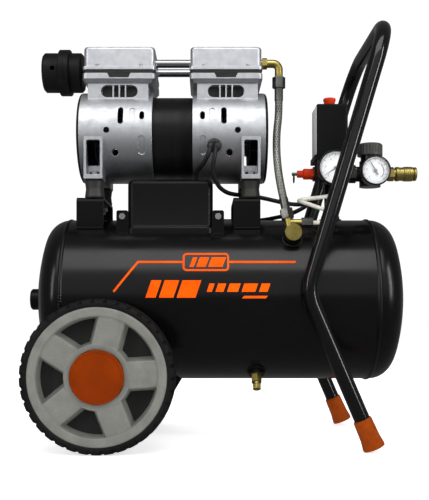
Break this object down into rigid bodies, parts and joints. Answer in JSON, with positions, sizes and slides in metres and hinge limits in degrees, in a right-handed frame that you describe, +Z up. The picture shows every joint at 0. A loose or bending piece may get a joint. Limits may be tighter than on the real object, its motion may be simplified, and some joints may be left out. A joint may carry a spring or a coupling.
{
  "type": "air compressor",
  "caption": "Small horizontal-tank silent air compressor on wheels, with a twin-piston oil-free motor pump, bent tube handle, pressure switch, gauges and quick coupler.",
  "frame": {"origin": "on the floor, under the middle of the object's outline", "axes": "+X along the tank to the outlet end, -Y to the front with the gauges, +Z up"},
  "size_m": [0.586, 0.328, 0.607],
  "materials": {
    "black_enamel": "gloss",
    "black_plastic": "satin",
    "black_rubber": "matte",
    "braid": "matte",
    "brass": "satin",
    "cast_aluminium": "satin",
    "chrome": "polished",
    "dark_steel": "satin",
    "dial_white": "matte",
    "grey_plastic": "satin",
    "lamination_steel": "satin",
    "lens": "clear",
    "needle_black": "matte",
    "nylon": "satin",
    "orange_plastic": "gloss",
    "orange_rubber": "matte",
    "red_plastic": "gloss",
    "tyre_rubber": "matte",
    "zinc": "satin"
  },
  "bodies": {
    "chassis": {"axle_bracket": "black_enamel", "capacitor": "zinc", "capacitor_cover": "black_plastic", "check_valve": "brass", "coupler_body": "brass", "crankcase_left": "cast_aluminium", "crankcase_right": "cast_aluminium", "crossover_pipes": "cast_aluminium", "cylinder_heads": "cast_aluminium", "cylinder_sleeves": "cast_aluminium", "delivery_hose": "braid", "drain_body": "brass", "end_covers": "black_enamel", "fasteners": "zinc", "filter_cap": "black_plastic", "filter_housing": "black_plastic", "gauge_cases": "chrome", "gauge_dials": "dial_white", "gauge_lenses": "lens", "handle_frame": "black_enamel", "hose_nuts": "zinc", "mains_cord": "black_rubber", "mains_cord_coil": "black_rubber", "mains_plug": "black_rubber", "manifold": "brass", "motor_brackets": "black_enamel", "motor_leads": "black_rubber", "mount_buffers": "black_rubber", "outlet_elbow": "brass", "regulator_body": "dark_steel", "rubber_feet": "orange_rubber", "safety_valve_body": "red_plastic", "shaft_bearings": "dark_steel", "stator": "lamination_steel", "switch_base": "black_plastic", "switch_cover": "black_plastic", "tank_domes": "black_enamel", "tank_ports": "black_enamel", "tank_shell": "black_enamel", "unloader_tube": "nylon", "valve_plates": "dark_steel", "wheel_axles": "zinc"},
    "front_wheel": {"tyre_front": "tyre_rubber", "rim_front": "grey_plastic", "wheel_cap_front": "orange_plastic"},
    "rear_wheel": {"tyre_rear": "tyre_rubber", "rim_rear": "grey_plastic", "wheel_cap_rear": "orange_plastic"},
    "rotor": {"rotor_core": "cast_aluminium", "motor_shaft": "dark_steel", "cooling_fans": "black_plastic"},
    "left_piston": {"piston_left": "cast_aluminium"},
    "right_piston": {"piston_right": "cast_aluminium"},
    "switch_button": {"switch_knob": "red_plastic"},
    "safety_stem": {"safety_valve_stem": "chrome"},
    "tank_pointer": {"needle_tank": "needle_black"},
    "outlet_pointer": {"needle_outlet": "needle_black"},
    "pressure_knob": {"regulator_knob": "black_plastic"},
    "sleeve": {"coupler_sleeve": "brass"},
    "drain": {"drain_screw": "brass"}
  },
  "joints": [
    {"name": "front_wheel_spin", "type": "hinge", "parent": "chassis", "child": "front_wheel", "pos_m": [-0.1727, -0.141, 0.105], "axis": [0, 1, 0], "continuous": true},
    {"name": "rear_wheel_spin", "type": "hinge", "parent": "chassis", "child": "rear_wheel", "pos_m": [-0.1727, 0.141, 0.105], "axis": [0, 1, 0], "continuous": true},
    {"name": "rotor_spin", "type": "hinge", "parent": "chassis", "child": "rotor", "pos_m": [-0.076, 0, 0.4539], "axis": [1, 0, 0], "continuous": true},
    {"name": "left_piston_stroke", "type": "slide", "parent": "chassis", "child": "left_piston", "axis": [0, 0, 1], "range_m": [-0.007, 0.007]},
    {"name": "right_piston_stroke", "type": "slide", "parent": "chassis", "child": "right_piston", "axis": [0, 0, 1], "range_m": [-0.007, 0.007]},
    {"name": "switch_press", "type": "slide", "parent": "chassis", "child": "switch_button", "axis": [0, 0, -1], "range_m": [0, 0.006]},
    {"name": "safety_pull", "type": "slide", "parent": "chassis", "child": "safety_stem", "axis": [-1, 0, 0], "range_m": [0, 0.004], "stiffness_N_per_m": 2000, "springref_m": -0.002},
    {"name": "tank_pointer_turn", "type": "hinge", "parent": "chassis", "child": "tank_pointer", "pos_m": [0.1623, -0.057, 0.401], "axis": [0, 1, 0], "range_deg": [0, 248]},
    {"name": "outlet_pointer_turn", "type": "hinge", "parent": "chassis", "child": "outlet_pointer", "pos_m": [0.2214, -0.052, 0.398], "axis": [0, 1, 0], "range_deg": [-96, 152]},
    {"name": "regulator_turn", "type": "hinge", "parent": "chassis", "child": "pressure_knob", "pos_m": [0.223, 0, 0.4305], "axis": [0, 0, 1], "range_deg": [-720, 720]},
    {"name": "sleeve_pull", "type": "slide", "parent": "chassis", "child": "sleeve", "axis": [-1, 0, 0], "range_m": [0, 0.002], "stiffness_N_per_m": 1500, "springref_m": -0.003},
    {"name": "drain_turn", "type": "hinge", "parent": "chassis", "child": "drain", "pos_m": [0.046, -0.06, 0.10558], "axis": [0, -0.5, -0.866], "range_deg": [-360, 0]}
  ]
}
